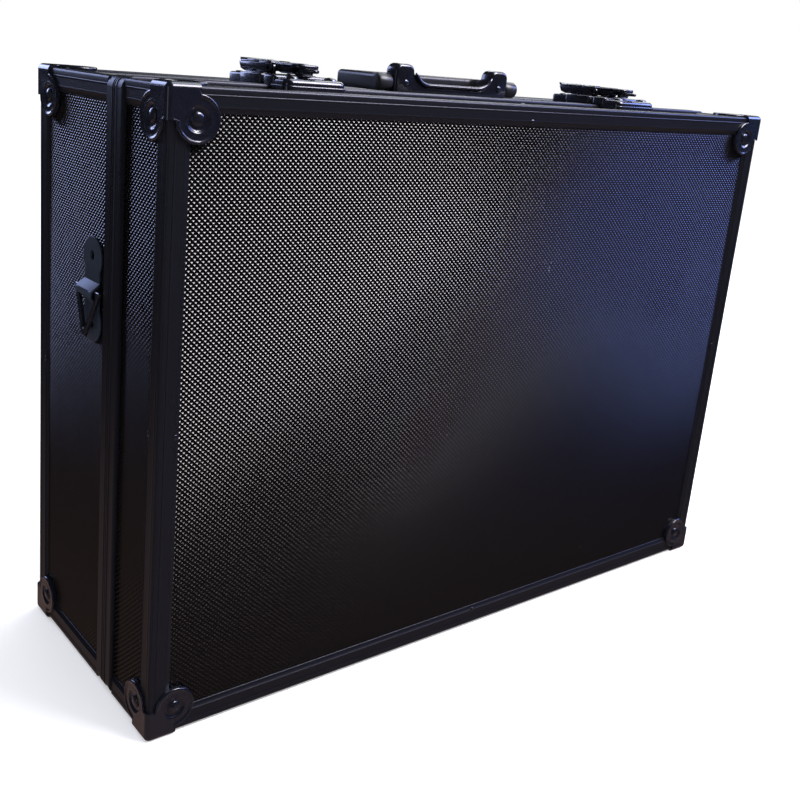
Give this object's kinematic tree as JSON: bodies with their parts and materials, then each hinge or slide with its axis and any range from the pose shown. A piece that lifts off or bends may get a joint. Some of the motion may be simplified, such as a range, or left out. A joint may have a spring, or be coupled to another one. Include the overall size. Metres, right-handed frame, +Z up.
{
  "type": "attache case",
  "caption": "Black hard attache case with an aluminium frame, dimpled panels, stamped corners, a fold-flat handle, key latches and side strap rings, standing on its hinged side.",
  "frame": {"origin": "on the ground under the middle of the case, which stands on its hinged side", "axes": "+X along the case, +Y from the lid to the deeper base half, +Z up to the handle"},
  "size_m": [0.4664, 0.155, 0.3465],
  "materials": {
    "profile": "satin black anodised",
    "panel": "glossy black, embossed with small bumps",
    "stamped_corner": "semi-gloss black",
    "hardware": "gloss black nickel",
    "handle": "satin black",
    "hinge": "satin black",
    "key": "dark brushed",
    "lining": "matt black foam"
  },
  "bodies": {
    "base": {"base_back_panel": "panel", "base_bottom_panel": "panel", "base_top_panel": "panel", "base_left_panel": "panel", "base_right_panel": "panel", "base_back_profile_bottom": "profile", "base_back_profile_top": "profile", "base_back_profile_left": "profile", "base_back_profile_right": "profile", "base_edge_profile_bottom_left": "profile", "base_edge_profile_bottom_right": "profile", "base_edge_profile_top_left": "profile", "base_edge_profile_top_right": "profile", "base_mating_frame": "profile", "base_corner_bottom_left": "stamped_corner", "base_corner_bottom_right": "stamped_corner", "base_corner_top_left": "stamped_corner", "base_corner_top_right": "stamped_corner", "base_lining": "lining", "handle_bracket": "hardware", "left_latch_base": "hardware", "left_hinge_base_leaf": "hinge", "left_hinge_pin": "hinge", "left_strap_plate": "hardware", "right_latch_base": "hardware", "right_hinge_base_leaf": "hinge", "right_hinge_pin": "hinge", "right_strap_plate": "hardware"},
    "lid": {"lid_front_panel": "panel", "lid_bottom_panel": "panel", "lid_top_panel": "panel", "lid_left_panel": "panel", "lid_right_panel": "panel", "lid_front_profile_bottom": "profile", "lid_front_profile_top": "profile", "lid_front_profile_left": "profile", "lid_front_profile_right": "profile", "lid_edge_profile_bottom_left": "profile", "lid_edge_profile_bottom_right": "profile", "lid_edge_profile_top_left": "profile", "lid_edge_profile_top_right": "profile", "lid_mating_frame": "profile", "lid_corner_bottom_left": "stamped_corner", "lid_corner_bottom_right": "stamped_corner", "lid_corner_top_left": "stamped_corner", "lid_corner_top_right": "stamped_corner", "lid_lining": "lining", "left_latch_strike": "hardware", "left_hinge_lid_leaf": "hinge", "right_latch_strike": "hardware", "right_hinge_lid_leaf": "hinge"},
    "handle": {"handle_bail": "handle"},
    "left_lever": {"left_latch_lever": "hardware"},
    "left_hook": {"left_latch_hook": "hardware"},
    "left_key": {"left_key_plug": "key"},
    "right_lever": {"right_latch_lever": "hardware"},
    "right_hook": {"right_latch_hook": "hardware"},
    "right_key": {"right_key_plug": "key"},
    "left_ring": {"left_strap_ring": "hardware"},
    "right_ring": {"right_strap_ring": "hardware"}
  },
  "joints": [
    {"name": "lid_hinge", "type": "hinge", "parent": "base", "child": "lid", "pos_m": [0, -0.0228, 0.0023], "axis": [1, 0, 0], "range_deg": [0, 100]},
    {"name": "handle_swing", "type": "hinge", "parent": "base", "child": "handle", "pos_m": [0, -0.0015, 0.3352], "axis": [1, 0, 0], "range_deg": [0, 105]},
    {"name": "left_lever_lift", "type": "hinge", "parent": "base", "child": "left_lever", "pos_m": [-0.1295, -0.0175, 0.3388], "axis": [1, 0, 0], "range_deg": [0, 100]},
    {"name": "left_hook_tilt", "type": "hinge", "parent": "left_lever", "child": "left_hook", "pos_m": [-0.1295, -0.0135, 0.3393], "axis": [1, 0, 0], "range_deg": [-100, 0]},
    {"name": "left_key_turn", "type": "hinge", "parent": "left_lever", "child": "left_key", "pos_m": [-0.1295, 0, 0.34], "axis": [0, 0, 1], "range_deg": [0, 90]},
    {"name": "left_ring_swing", "type": "hinge", "parent": "base", "child": "left_ring", "pos_m": [-0.23015, 0.003, 0.221], "axis": [0, 1, 0], "range_deg": [0, 70]},
    {"name": "right_lever_lift", "type": "hinge", "parent": "base", "child": "right_lever", "pos_m": [0.1295, -0.0175, 0.3388], "axis": [1, 0, 0], "range_deg": [0, 100]},
    {"name": "right_hook_tilt", "type": "hinge", "parent": "right_lever", "child": "right_hook", "pos_m": [0.1295, -0.0135, 0.3393], "axis": [1, 0, 0], "range_deg": [-100, 0]},
    {"name": "right_key_turn", "type": "hinge", "parent": "right_lever", "child": "right_key", "pos_m": [0.1295, 0, 0.34], "axis": [0, 0, 1], "range_deg": [0, 90]},
    {"name": "right_ring_swing", "type": "hinge", "parent": "base", "child": "right_ring", "pos_m": [0.23015, 0.003, 0.221], "axis": [0, -1, 0], "range_deg": [0, 70]}
  ],
  "couplings": [
    {"joint": "left_hook_tilt", "follows": "left_lever_lift", "ratio": -1},
    {"joint": "right_hook_tilt", "follows": "right_lever_lift", "ratio": -1}
  ]
}
